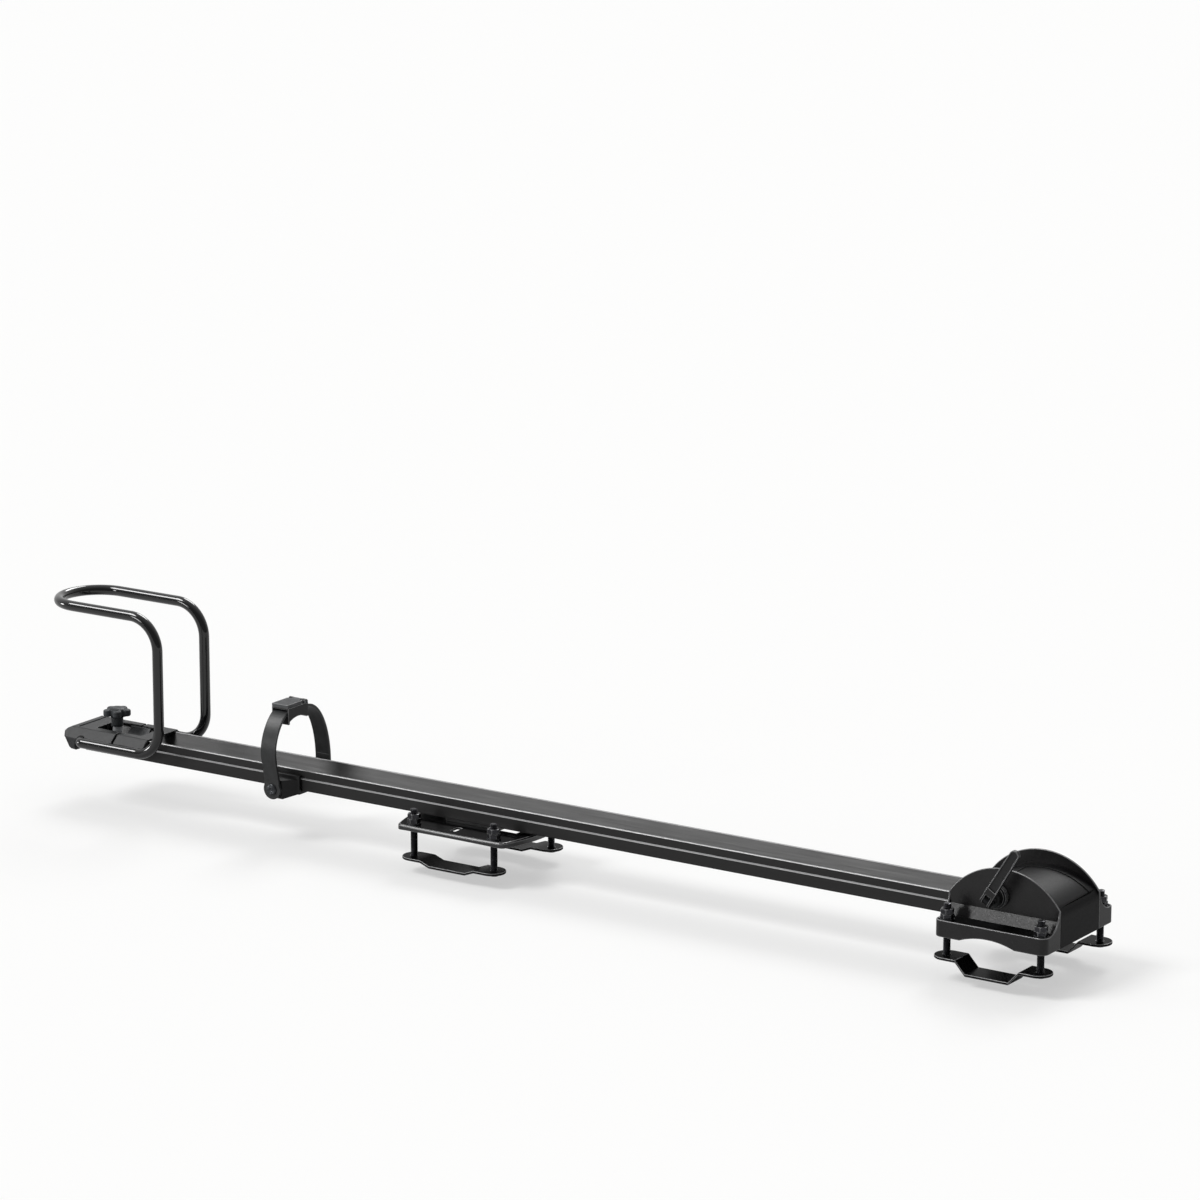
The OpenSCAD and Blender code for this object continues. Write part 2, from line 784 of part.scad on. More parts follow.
module hoop_holder() {
    inside = low_half + slide_gap;
    nose_in = rail_back - push_in - 1;
    color("#3b3c3e") difference() {
        union() {
            along_x(holder_seam, holder_front) polygon(both_halves(holder_half));
            // Nose over the end of the rail
            intersection() {
                along_y(-skirt_y, skirt_y) polygon([
                    [holder_seam, rail_bottom + 1], [nose_x + 13, rail_bottom + 2], [nose_x + 5, hoop_z + 3],
                    [nose_x, hoop_z + 7], [nose_x + 3, shell_top - 2.5], [nose_x + 8, shell_top], [holder_seam, shell_top]
                ]);
                translate([0, 0, rail_bottom - 5]) linear_extrude(60) polygon([
                    [holder_seam, -skirt_y], [holder_seam, skirt_y], [nose_x + 5, skirt_y - 0.5],
                    [nose_x, skirt_y - 8], [nose_x, 8 - skirt_y], [nose_x + 5, 0.5 - skirt_y]
                ]);
                along_x(nose_x, holder_seam) polygon(both_halves(concat(
                    [[skirt_y - 3, rail_bottom + 1], [skirt_y, rail_bottom + 5]], [for (i = [2:4]) holder_half[i]]
                )));
            }
            // Tongue along the trough floor
            block([nose_in - 2, -tongue_half, floor_top + 0.5], [holder_front - 30, tongue_half, tongue_top]);
        }
        // Room for the rail
        difference() {
            union() {
                block([nose_in, -inside, rail_bottom - slide_gap], [holder_front + 1, inside, ledge_top + slide_gap]);
                block([nose_in, -up_half - slide_gap, rail_bottom], [holder_front + 1, up_half + slide_gap, rail_top + slide_gap]);
            }
            block([nose_in - 2, -tongue_half, floor_top + 0.5], [holder_front - 30, tongue_half, tongue_top]);
        }
        // Opening in the top
        translate([(rail_back + 10 + holder_front - 18) / 2, 0, floor_top + 8]) linear_extrude(30)
            round_rect(holder_front - rail_back - 28, 2 * opening_half, 3);
        // Seat of the hoop rod
        hoop_half(rod_d + 0.3);
        far_side() hoop_half(rod_d + 0.3);
        // Slit on each side from the opening down to the rod
        for (sy = [-1, 1]) translate([slit_x, sy * (opening_half + skirt_y + 2) / 2, hoop_z + 12])
            cube([slit_wide, skirt_y + 2.5 - opening_half, 20], center = true);
        bar_z(knob_x, 0, floor_top - 1, tongue_top + 1, knob_bolt_d + 0.4);
        // Line across the top where the nose begins
        block([holder_seam - 5, -24, shell_top - 0.5], [holder_seam - 4, 24, shell_top + 1]);
    }
}

module tyre_cradle() {
    cradle_r = 18;
    cradle_z = tongue_top + cradle_r + 2;
    color("#55575a") along_x(knob_x + 8, holder_front - 30) intersection() {
        difference() {
            translate([0, cradle_z]) circle(cradle_r + 2);
            translate([0, cradle_z]) circle(cradle_r);
        }
        translate([-17, tongue_top]) square([34, shell_top - 1.5 - tongue_top]);
    }
}

// Star knob and its bolt

module hoop_clamp_plate() {
    color("#8a8d90") difference() {
        block([knob_x - 12, -8.5, floor_under - slide_gap - 4], [knob_x + 12, 8.5, floor_under - slide_gap]);
        bar_z(knob_x, 0, 0, floor_under + 1, knob_bolt_d + 0.1);
    }
}

module knob_bolt() {
    color("#b9bcc0") {
        bar_z(knob_x, 0, floor_under - slide_gap - 5, hub_bottom + 12, knob_bolt_d);
        bar_z(knob_x, 0, floor_under - slide_gap - 5.8, floor_under - slide_gap - 4, 14);
    }
}

module knob_sleeve() {
    color("#c4c7ca") difference() {
        bar_z(knob_x, 0, tongue_top, sleeve_top, knob_bolt_d + 3);
        bar_z(knob_x, 0, tongue_top - 1, sleeve_top + 1, knob_bolt_d + 0.2);
    }
}

module knob_insert() {
    color("#a88a4a") difference() {
        bar_z(knob_x, 0, hub_bottom, hub_bottom + 13, insert_d);
        bar_z(knob_x, 0, hub_bottom - 1, hub_bottom + 14, knob_bolt_d + 0.4);
    }
}

module star_knob() {
    lobe_r = knob_d * 0.16;
    lobes = 5;
    color("#2f3234") difference() {
        translate([knob_x, 0, hub_bottom]) {
            cylinder(d = knob_hub_d, h = 13);
            translate([0, 0, 10]) cylinder(d1 = knob_hub_d, d2 = knob_d * 0.6, h = 3.5);
            translate([0, 0, 12.5]) linear_extrude(knob_high - 14.5) {
                circle(knob_d * 0.32);
                for (i = [0:lobes - 1]) rotate(i * 360 / lobes + 20) {
                    translate([knob_d / 2 - lobe_r, 0]) circle(lobe_r);
                    translate([0, -lobe_r]) square([knob_d / 2 - lobe_r, 2 * lobe_r]);
                }
            }
            translate([0, 0, knob_high - 2]) cylinder(d1 = knob_d * 0.64, d2 = knob_d * 0.44, h = 2);
        }
        bar_z(knob_x, 0, hub_bottom - 1, hub_bottom + 13, insert_d);
    }
}

// Wheel strap

base_long = 50;

module strap_base() {
    g = slide_gap;
    wrap = [
        [low_half + 4, rail_bottom - 4], [low_half + 4, ledge_top + 3], [up_half + g + 0.2, ledge_top + 3],
        [up_half + g + 0.2, ledge_top + g], [low_half + g, ledge_top + g], [low_half + g, rail_bottom - g]
    ];
    color("#1d1d1e") difference() {
        union() {
            along_x(strap_x - base_long / 2, strap_x + base_long / 2) polygon(both_halves(wrap));
            for (sy = [-1, 1]) {
                // Gusset that narrows towards the ear
                intersection() {
                    translate([0, 0, rivet_z - 11]) linear_extrude(22) polygon([
                        [strap_x - base_long / 2 + 2, sy * (low_half + 3)], [strap_x + base_long / 2 - 2, sy * (low_half + 3)],
                        [strap_x + 11, sy * ear_y], [strap_x - 11, sy * ear_y]
                    ]);
                    along_y(-ear_y, ear_y) polygon([
                        [strap_x - base_long / 2, rail_bottom - 3], [strap_x - 11, rivet_z - 11], [strap_x + 11, rivet_z - 11],
                        [strap_x + base_long / 2, rail_bottom - 3], [strap_x + base_long / 2, rivet_z + 11],
                        [strap_x - base_long / 2, rivet_z + 11]
                    ]);
                }
            }
        }
        for (sy = [-1, 1]) bar_y(strap_x, rivet_z, sy * (ear_y + low_half + 6) / 2 - 10, sy * (ear_y + low_half + 6) / 2 + 10, rivet_d);
        block([strap_x - base_long, -low_half - g, rail_bottom - g], [strap_x + base_long, low_half + g, ledge_top + g]);
    }
}

module strap_rivets() {
    color("#6b6d70") for (sy = [-1, 1]) {
        inner = (ear_y + low_half + 6) / 2 - 10;
        outer = arm_y + disc_thick / 2 + slide_gap;
        bar_y(strap_x, rivet_z, min(sy * max(inner, low_half + 1), sy * outer), max(sy * max(inner, low_half + 1), sy * outer), rivet_d);
        bar_y(strap_x, rivet_z, min(sy * outer, sy * (outer + 2)), max(sy * outer, sy * (outer + 2)), 2.2 * rivet_d);
    }
}

// Middle line of the band over the wheel, near side up to the buckle
near_end = -23.5;
belly_out = 7;
belly_rise = 0.52 * strap_rise;
near_belly = arm_y + belly_out;
belly_z = rivet_z + belly_rise;
shoulder_y = near_end - 2;
near_path = concat(
    [for (i = [0:8]) let (a = 180 * i / 8) [-arm_y - belly_out * (1 - cos(a)) / 2, rivet_z + belly_rise * i / 8]],
    [for (i = [1:12]) let (a = 90 * i / 12) [
        shoulder_y - (near_belly + shoulder_y) * pow(max(cos(a), 0), 1.2), belly_z + (band_z - belly_z) * pow(sin(a), 1.2)
    ]],
    [[near_end, band_z]]
);

// Middle line of the band from inside the buckle to the far side
far_drop = 75;
far_path = concat(
    [[near_end + 3.5, band_z]],
    [for (i = [0:20]) let (a = 90 - 90 * i / 20) [buckle_far + (arm_y - buckle_far) * cos(a), band_z - far_drop + far_drop * sin(a)]],
    [[arm_y, rivet_z]]
);

// One arm: its band and the round end at the rivet
module arm(path, side) {
    difference() {
        union() {
            along_x(strap_x - strap_width / 2, strap_x + strap_width / 2) band(path, strap_thick);
            bar_y(strap_x, rivet_z, side * arm_y - disc_thick / 2, side * arm_y + disc_thick / 2, strap_width + 3);
        }
        bar_y(strap_x, rivet_z, side * arm_y - 20, side * arm_y + 20, rivet_d + 2 * pin_gap);
    }
}

module near_arm() {
    color("#2a2b2c") arm(near_path, -1);
}

module far_arm() {
    color("#2a2b2c") arm(far_path, 1);
}

module buckle_body() {
    half = strap_width / 2 + 1.8;
    knuckle = 6 + slide_gap;
    color("#1a1a1b") difference() {
        union() {
            along_x(strap_x - half, strap_x + half) polygon(concat(
                [[buckle_near, buckle_roof], [buckle_near, band_z - 15], [buckle_near + 2.5, band_z - 15]],
                arc([(buckle_near + buckle_far) / 2, band_z - 8 - buckle_arch_r], buckle_arch_r, 118, 62, 10),
                [[buckle_far, band_z - 12], [buckle_far, buckle_roof]]
            ));
            along_x(strap_x - half, strap_x + half) translate([lever_pin_y, lever_pin_z]) circle(knuckle_r + 0.2);
        }
        block([strap_x - strap_width / 2 - slide_gap, buckle_near - 1, band_z - strap_thick / 2 - 1.7],
              [strap_x + strap_width / 2 + slide_gap, buckle_far + 2, band_z + strap_thick / 2 + 0.7]);
        // Way in for the near arm where it bends over
        along_x(strap_x - strap_width / 2 - slide_gap, strap_x + strap_width / 2 + slide_gap)
            band(near_path, strap_thick + 2 * slide_gap);
        block([strap_x - knuckle, lever_pin_y - 6, band_z + 1], [strap_x + knuckle, buckle_far + 4, band_z + 12]);
        translate([strap_x - 20, lever_pin_y, lever_pin_z]) rotate([0, 90, 0]) cylinder(d = 3.02, h = 40);
    }
}

module buckle_pin() {
    color("#8a8d90") translate([strap_x - strap_width / 2 - 1, lever_pin_y, lever_pin_z]) rotate([0, 90, 0])
        cylinder(d = 3, h = strap_width + 2);
}

module buckle_lever() {
    half = strap_width / 2 + 1;
    top = lever_pin_z + knuckle_r;
    under = buckle_roof + slide_gap;
    color("#4a4c4e") difference() {
        union() {
            block([strap_x - half, buckle_near - 1, under], [strap_x + half, lever_pin_y - 5.7, top]);
            block([strap_x - 6, lever_pin_y - 5.9, under], [strap_x + 6, lever_pin_y, top]);
            translate([strap_x - 6, lever_pin_y, lever_pin_z]) rotate([0, 90, 0]) cylinder(r = knuckle_r, h = 12);
        }
        translate([strap_x - 20, lever_pin_y, lever_pin_z]) rotate([0, 90, 0]) cylinder(d = 3 + 2 * pin_gap, h = 40);
    }
}

// Only these lines draw
rail();
head_base();
head_side_near();
head_side_far();
head_cover();
head_rear_plate();
axle_tube();
dropout_collars();
front_pad();
rear_plate();
rear_pad();
rear_spacer();
slot_nuts();
slot_screws();
clamp_nuts();
lock_nuts();
clamp_washers();
hoop_holder();
wheel_hoop();
tyre_cradle();
knob_bolt();
knob_sleeve();
hoop_clamp_plate();
star_knob();
knob_insert();
strap_base();
strap_rivets();
near_arm();
buckle_body();
buckle_pin();
buckle_lever();
far_arm();
skewer_rod();
cam_pin();
cam_washer();
quick_lever();
skewer_nut();
front_near_strap();
front_near_bolts();
front_far_strap();
front_far_bolts();
rear_near_strap();
rear_near_bolts();
rear_far_strap();
rear_far_bolts();
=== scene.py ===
"""Roof mounted bike carrier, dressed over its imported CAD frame."""
import math
import bmesh
import bpy
import mathutils
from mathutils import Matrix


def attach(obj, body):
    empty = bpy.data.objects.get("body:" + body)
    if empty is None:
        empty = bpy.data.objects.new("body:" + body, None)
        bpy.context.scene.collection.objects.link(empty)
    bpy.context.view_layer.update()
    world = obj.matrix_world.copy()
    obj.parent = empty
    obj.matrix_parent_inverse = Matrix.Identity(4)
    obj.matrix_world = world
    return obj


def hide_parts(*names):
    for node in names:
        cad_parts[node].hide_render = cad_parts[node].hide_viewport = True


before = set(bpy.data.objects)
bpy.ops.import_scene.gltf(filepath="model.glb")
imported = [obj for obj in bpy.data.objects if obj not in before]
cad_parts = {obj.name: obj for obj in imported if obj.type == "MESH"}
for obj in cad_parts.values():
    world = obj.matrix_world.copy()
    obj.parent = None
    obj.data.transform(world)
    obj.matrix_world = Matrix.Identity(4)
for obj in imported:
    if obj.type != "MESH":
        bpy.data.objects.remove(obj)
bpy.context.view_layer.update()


# Camera
# A long lens on the near front side of the head, a little above the carrier. Its place and turn
# were fitted to the straight edges of the carrier in the picture.
CAMERA_PLACE = (2.499639, -4.544507, 1.620777)
CAMERA_YAW = 33.7
CAMERA_PITCH = 13.8
CAMERA_SENSOR = 36
CAMERA_LENS = 155.58
bpy.ops.object.select_all(action="DESELECT")
bpy.ops.object.camera_add(
    location=CAMERA_PLACE,
    rotation=(math.radians(90 - CAMERA_PITCH), 0, math.radians(CAMERA_YAW)),
)
camera = bpy.context.object
camera.data.sensor_width = CAMERA_SENSOR
camera.data.lens = CAMERA_LENS
bpy.context.scene.camera = camera


# Wheel rail
# One length of extruded aluminium, anodised black, with a trough on top, a ledge along each side
# and a slot underneath. The die leaves its corners slightly round and fine lines along it.
MM = 0.001
# Parts of the noise over which one colour runs into the other, and over which the gloss changes
PATCH_SPAN = (0.32, 0.68)
GRAIN_SPAN = (0.3, 0.7)
# Points closer than this are welded, in mm
WELD = 0.01
# Faces that turn by less than this are one flat face, and edges under the other shade smooth
FLAT_WITHIN = 0.3
SMOOTH_UNDER = 40
# How far broad faces outweigh narrow ones in the shading
BROAD_WEIGHT = 80


def linear(colour):
    """An sRGB hex colour as the linear red, green, blue and alpha that a socket takes."""
    parts = [int(colour[i:i + 2], 16) / 255 for i in (1, 3, 5)]
    return [p / 12.92 if p <= 0.04045 else ((p + 0.055) / 1.055) ** 2.4 for p in parts] + [1.0]


def add_node(tree, kind, sockets, **settings):
    """Add one node. A socket takes a plain value, or the output of another node, which is linked."""
    node = tree.nodes.new("ShaderNode" + kind)
    for name, value in settings.items():
        setattr(node, name, value)
    for name, value in sockets.items():
        if isinstance(value, bpy.types.NodeSocket):
            tree.links.new(value, node.inputs[name])
        else:
            node.inputs[name].default_value = value
    return node


def surface(name, dark, light, patch, grain, depth, gloss, stretch=(1, 1, 1), **shader):
    """A finish: two close colours in soft patches, and a grain that shows in gloss and as relief.

    patch, grain and depth are real sizes in mm, gloss the lowest and highest roughness, and stretch
    draws the grain out along an axis.
    """
    material = bpy.data.materials.new(name)
    material.use_nodes = True
    tree = material.node_tree
    tree.nodes.clear()
    place = add_node(tree, "TexCoord", {})
    drawn = add_node(tree, "Mapping", {"Vector": place.outputs["Object"], "Scale": stretch})
    patches = add_node(tree, "TexNoise", {
        "Vector": drawn.outputs["Vector"], "Scale": 1 / (patch * MM), "Detail": 4.0, "Roughness": 0.6,
    })
    tint = add_node(tree, "ValToRGB", {"Fac": patches.outputs["Fac"]})
    tint.color_ramp.elements[0].position = PATCH_SPAN[0]
    tint.color_ramp.elements[0].color = linear(dark)
    tint.color_ramp.elements[1].position = PATCH_SPAN[1]
    tint.color_ramp.elements[1].color = linear(light)
    fine = add_node(tree, "TexNoise", {
        "Vector": drawn.outputs["Vector"], "Scale": 1 / (grain * MM), "Detail": 2.0, "Roughness": 0.5,
    })
    rough = add_node(tree, "MapRange", {
        "Value": fine.outputs["Fac"], "From Min": GRAIN_SPAN[0], "From Max": GRAIN_SPAN[1],
        "To Min": gloss[0], "To Max": gloss[1],
    })
    relief = add_node(tree, "Bump", {
        "Height": fine.outputs["Fac"], "Strength": 1.0, "Distance": depth * MM,
    })
    shade = add_node(tree, "BsdfPrincipled", {
        "Base Color": tint.outputs["Color"], "Roughness": rough.outputs["Result"],
        "Normal": relief.outputs["Normal"], **shader,
    })
    add_node(tree, "OutputMaterial", {"Surface": shade.outputs["BSDF"]})
    return material


def finish_with(piece, kind, **settings):
    """Add a modifier with these settings to a piece and apply it."""
    modifier = piece.modifiers.new(kind.lower(), kind)
    for name, value in settings.items():
        setattr(modifier, name, value)
    bpy.context.view_layer.objects.active = piece
    bpy.ops.object.modifier_apply(modifier=modifier.name)


def welded_copy(name, weld=WELD):
    """Copy a CAD node as a new piece, with its triangles welded and its flat faces whole again."""
    bpy.ops.object.select_all(action="DESELECT")
    mesh = bpy.data.meshes.new_from_object(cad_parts[name])
    mesh.materials.clear()
    piece = bpy.data.objects.new(name + "_dressed", mesh)
    bpy.context.scene.collection.objects.link(piece)
    piece.select_set(True)
    bpy.context.view_layer.objects.active = piece
    bpy.ops.mesh.customdata_custom_splitnormals_clear()
    bpy.ops.object.mode_set(mode="EDIT")
    bpy.ops.mesh.select_all(action="SELECT")
    bpy.ops.mesh.remove_doubles(threshold=weld * MM)
    bpy.ops.mesh.dissolve_limited(angle_limit=math.radians(FLAT_WITHIN))
    bpy.ops.object.mode_set(mode="OBJECT")
    return piece


def dress(piece, material, edge):
    """Fill the two material slots of a piece: its broad faces and its rounded edges."""
    while len(piece.data.materials) < 2:
        piece.data.materials.append(None)
    piece.data.materials[0] = material
    piece.data.materials[1] = edge


def soften(piece, radius, steps=3, sharp=30, inner=False, crease=20):
    """Round the outer edges of a piece that are sharper than an angle, and its inner corners if asked.

    Inner corners that stay are kept as creases from an angle on. The radius is in mm.
    """
    mesh = bmesh.new()
    mesh.from_mesh(piece.data)
    weight = mesh.edges.layers.float.new("bevel_weight_edge")
    for edge in mesh.edges:
        turn = math.degrees(edge.calc_face_angle_signed(0))
        edge[weight] = float(turn > sharp or (inner and turn < -sharp))
        edge.smooth = inner or turn > -crease
    mesh.to_mesh(piece.data)
    mesh.free()
    dress(piece, None, None)
    finish_with(
        piece, "BEVEL", width=radius * MM, segments=steps, limit_method="WEIGHT",
        use_clamp_overlap=False, miter_outer="MITER_ARC", material=1,
    )
    bpy.ops.object.select_all(action="DESELECT")
    piece.select_set(True)
    bpy.context.view_layer.objects.active = piece
    bpy.ops.object.shade_smooth_by_angle(angle=math.radians(SMOOTH_UNDER), keep_sharp_edges=True)
    finish_with(piece, "WEIGHTED_NORMAL", keep_sharp=True, weight=BROAD_WEIGHT)


def settle(piece, body, slot, material, *nodes, edge=None):
    """Give a finished piece its materials, its body and the CAD nodes it stands for. The slot is not
    used.
    """
    dress(piece, material, edge or material)
    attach(piece, body)
    if nodes:
        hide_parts(*nodes)


# Black anodised aluminium: a hard, dyed oxide skin with a satin shine. The extrusion die draws
# lines along X about 0.6 mm apart, stretched a hundredfold in that direction.
anodised = surface(
    "black_anodised_aluminium", "#0e0d0d", "#151414", patch=6, grain=0.6, depth=0.006,
    gloss=(0.4, 0.52), stretch=(0.01, 1, 1), IOR=1.5,
)
# Painted highlight on the rail's long rounded edges: a bright grey that stands in for the light they
# catch
rail_highlight_paint = surface(
    "painted_highlight_rail_edge", "#a6a6a7", "#c2c2c3", patch=9, grain=0.6, depth=0.004,
    gloss=(0.2, 0.3), stretch=(0.05, 1, 1), IOR=1.6,
)
# Only the rounded edges that face up get the painted highlight
LEAST_UP = 0.1
rail = welded_copy("rail")
soften(rail, radius=0.7)
for face in rail.data.polygons:
    if face.normal.z < LEAST_UP:
        face.material_index = 0
settle(rail, "frame", "rail_black", anodised, "rail", edge=rail_highlight_paint)


# Slot nuts and their screws
# Square steel nuts that slide in the slot under the rail, with socket screws from below that hold
# the rail to the head and to the rear plate.
bare_steel = surface(
    "drawn_steel", "#7d8083", "#93969a", patch=8, grain=0.4, depth=0.006, gloss=(0.26, 0.4),
    Metallic=1.0,
)


def dressed_copy(name, body, slot, material, radius, weld=WELD, edge=None, **rounding):
    """Copy a CAD node, round its edges, and settle it as the piece that stands for that node."""
    piece = welded_copy(name, weld)
    soften(piece, radius, **rounding)
    settle(piece, body, slot, material, name, edge=edge)


for name in ("slot_nuts", "slot_screws"):
    dressed_copy(name, "frame", "steel", bare_steel, radius=0.25, steps=2)


# Head
# Two pressed steel side plates with half-disc tops and a trough for the nuts, welded to a base plate
# and closed at the rear. All of it is powder coated satin black. The side plates' rounded edges carry
# a painted highlight.
powder_coat = surface(
    "satin_powder_coat", "#121112", "#191819", patch=9, grain=1.6, depth=0.01, gloss=(0.27, 0.34),
    IOR=1.5,
)
dark_coat = surface(
    "satin_powder_coat_dark", "#0e0e0f", "#131314", patch=9, grain=1.6, depth=0.02,
    gloss=(0.36, 0.48), IOR=1.5,
)
# Painted shade on the floor of the trough: a near-black coat that hardly reflects, standing in for the
# shade there
trough_shade_paint = surface(
    "painted_shade_trough_floor", "#060606", "#0a0a0a", patch=9, grain=1.6, depth=0.02, gloss=(0.5, 0.6),
    **{"Specular IOR Level": 0.03},
)
# Painted highlight for rounded edges: a mid grey that stands in for the light they catch
edge_highlight_paint = surface(
    "painted_highlight_black_edge", "#6e6e6f", "#8a8a8b", patch=4, grain=0.6, depth=0.004, gloss=(0.2, 0.3),
    IOR=1.6,
)
# Height of the trough's floor, and what counts as part of it
TRAY_FLOOR = 15.5
FLOOR_WITHIN = 0.2
FLOOR_FLATNESS = 0.95
PAINTED_SHADE_SLOT = 2
for name in ("head_side_near", "head_side_far"):
    side = welded_copy(name, weld=0.06)
    soften(side, radius=0.8, crease=12)
    side.data.materials.append(trough_shade_paint)
    # Painted shade: the trough's floor faces get the near-black coat
    for face in side.data.polygons:
        off_floor = abs(face.center.z / MM - TRAY_FLOOR)
        if face.normal.z > FLOOR_FLATNESS and off_floor < FLOOR_WITHIN:
            face.material_index = PAINTED_SHADE_SLOT
    settle(side, "frame", "head_satin", powder_coat, name, edge=edge_highlight_paint)
for name in ("head_base", "head_rear_plate"):
    dressed_copy(name, "frame", "head_black", dark_coat, radius=0.4)


# Head cover
# One curved sheet that runs from the rail over the axle and bends down into the front face. It has a
# shallow inset panel on top and is coated like the sides, a little smoother.
cover_coat = surface(
    "smooth_powder_coat", "#0a0a0b", "#0f0f10", patch=12, grain=1.8, depth=0.012, gloss=(0.36, 0.46),
    **{"Specular IOR Level": 0.12},
)
dressed_copy("head_cover", "frame", "cover_black", cover_coat, radius=0.4)


# Pads and spacer
# Moulded rubber pads under the head and under the rear plate, which grip what the carrier stands on,
# and a hard plastic spacer that holds the rail off the rear plate.
rubber = surface(
    "moulded_rubber", "#0f0f0f", "#161616", patch=5, grain=0.7, depth=0.03, gloss=(0.7, 0.85),
    IOR=1.5,
)
plain_plastic = surface(
    "moulded_nylon", "#0d0d0e", "#131314", patch=6, grain=0.8, depth=0.02, gloss=(0.42, 0.55),
    IOR=1.5,
)
for name in ("front_pad", "rear_pad"):
    dressed_copy(name, "frame", "pad_rubber", rubber, radius=0.8)
dressed_copy("rear_spacer", "frame", "black_plastic", plain_plastic, radius=0.4)


# Axle and collars
# A steel tube across the head with a plain stub at each end, and a ribbed zinc collar that lies
# against each side plate.
cast_zinc = surface(
    "dark_cast_zinc", "#232425", "#303132", patch=5, grain=0.5, depth=0.015, gloss=(0.34, 0.48),
    Metallic=0.6,
)
dressed_copy("axle_tube", "frame", "steel", bare_steel, radius=0.3)
# The collars' rounded edges carry the painted highlight
dressed_copy("dropout_collars", "frame", "collar_grey", cast_zinc, radius=0.35, edge=edge_highlight_paint)


# Quick release
# A steel rod through the axle tube with a lever and cam at the near end and a thumb nut at the far
# end. The lever is die cast and painted black, with a raised rim whose rounded edges carry a painted
# highlight.
lever_paint = surface(
    "painted_zinc_casting", "#0c0c0d", "#121213", patch=5, grain=0.9, depth=0.015, gloss=(0.26, 0.38),
    IOR=1.5,
)
dark_steel = surface(
    "blackened_steel", "#1b1c1d", "#27282a", patch=5, grain=0.4, depth=0.006, gloss=(0.26, 0.38),
    Metallic=0.8,
)
dressed_copy("quick_lever", "lever", "lever_black", lever_paint, radius=0.5, weld=0.04, edge=edge_highlight_paint)
for name in ("skewer_rod", "cam_pin"):
    dressed_copy(name, "skewer", "steel", dark_steel, radius=0.3)
dressed_copy("cam_washer", "skewer", "collar_grey", cast_zinc, radius=0.4)
dressed_copy("skewer_nut", "nut", "collar_grey", cast_zinc, radius=0.5)


# Rear plate
# A pressed steel plate with its edge turned down all round, painted gloss black. The press leaves a
# full round along the top edge, which carries two long painted highlight lines.
gloss_paint = surface(
    "gloss_black_enamel", "#0a0a0b", "#0e0e0f", patch=20, grain=2.4, depth=0.002, gloss=(0.1, 0.16),
    IOR=1.5, **{"Coat Weight": 0.8, "Coat Roughness": 0.05},
)
PLATE_TOP = 5.5
PLATE_MIDDLE = -688.0
PLATE_EDGE = 2.1
PLATE_WALL = 2.5
PLATE_CORNER = 9.0
# Distances from the plate's middle beyond which an edge belongs to a corner, or to the rim
CORNER_X = 62
CORNER_Y = 60
RIM_X = 70
RIM_Y = 61.5
# The part of the round between its two painted highlight lines, by how far its faces look up
ROLL_LOW = 0.5
ROLL_HIGH = 0.9
rear_plate = welded_copy("rear_plate")
bpy.ops.object.mode_set(mode="EDIT")
# Round the upright corners of the lip, outside and then inside
for sign, radius in ((1, PLATE_CORNER), (-1, PLATE_CORNER - PLATE_WALL)):
    mesh = bmesh.from_edit_mesh(rear_plate.data)
    for edge in mesh.edges:
        along = (edge.verts[0].co - edge.verts[1].co) / MM
        middle = (edge.verts[0].co + edge.verts[1].co) / 2 / MM
        upright = abs(along.z) > 1 and along.xy.length < 0.05
        at_corner = abs(middle.x - PLATE_MIDDLE) > CORNER_X and abs(middle.y) > CORNER_Y
        turn = sign * edge.calc_face_angle_signed(0)
        edge.select_set(upright and at_corner and turn > math.radians(40))
    bmesh.update_edit_mesh(rear_plate.data)
    bpy.ops.mesh.bevel(
        offset_type="OFFSET", offset=radius * MM, segments=8, profile=0.5, clamp_overlap=True,
    )
# Round the rim along the top
mesh = bmesh.from_edit_mesh(rear_plate.data)
for edge in mesh.edges:
    ends = [vertex.co / MM for vertex in edge.verts]
    on_top = all(end.z > PLATE_TOP - 0.05 for end in ends)
    outside = all(abs(end.y) > RIM_Y or abs(end.x - PLATE_MIDDLE) > RIM_X for end in ends)
    edge.select_set(on_top and outside and edge.calc_face_angle(0) > math.radians(30))
bmesh.update_edit_mesh(rear_plate.data)
dress(rear_plate, None, None)
bpy.ops.mesh.bevel(
    offset=PLATE_EDGE * MM, segments=6, profile=0.5, clamp_overlap=True, material=1,
)
bpy.ops.object.mode_set(mode="OBJECT")
# Painted highlight where the roll leaves the flat top and again where it turns down; the middle of the
# roll keeps the gloss black
for face in rear_plate.data.polygons:
    if ROLL_LOW < face.normal.z < ROLL_HIGH:
        face.material_index = 0
soften(rear_plate, radius=0.5, sharp=50)
settle(rear_plate, "frame", "plate_gloss", gloss_paint, "rear_plate", edge=edge_highlight_paint)


# Lower straps
# Bent steel straps that close the clamps from below, one on each side of the rail at the head and at
# the rear plate. They are cut with round ends and dipped in semi-gloss black.
dip_coat = surface(
    "dipped_semi_gloss_black", "#0a0a0b", "#0f0f0f", patch=7, grain=3.0, depth=0.001,
    gloss=(0.2, 0.26), **{"Specular IOR Level": 0.04},
)
# Their rounded edges carry the painted highlight
for corner in ("front_near", "front_far", "rear_near", "rear_far"):
    dressed_copy(
        corner + "_strap", corner + "_clamp", "strap_steel", dip_coat, radius=0.7, edge=edge_highlight_paint,
    )


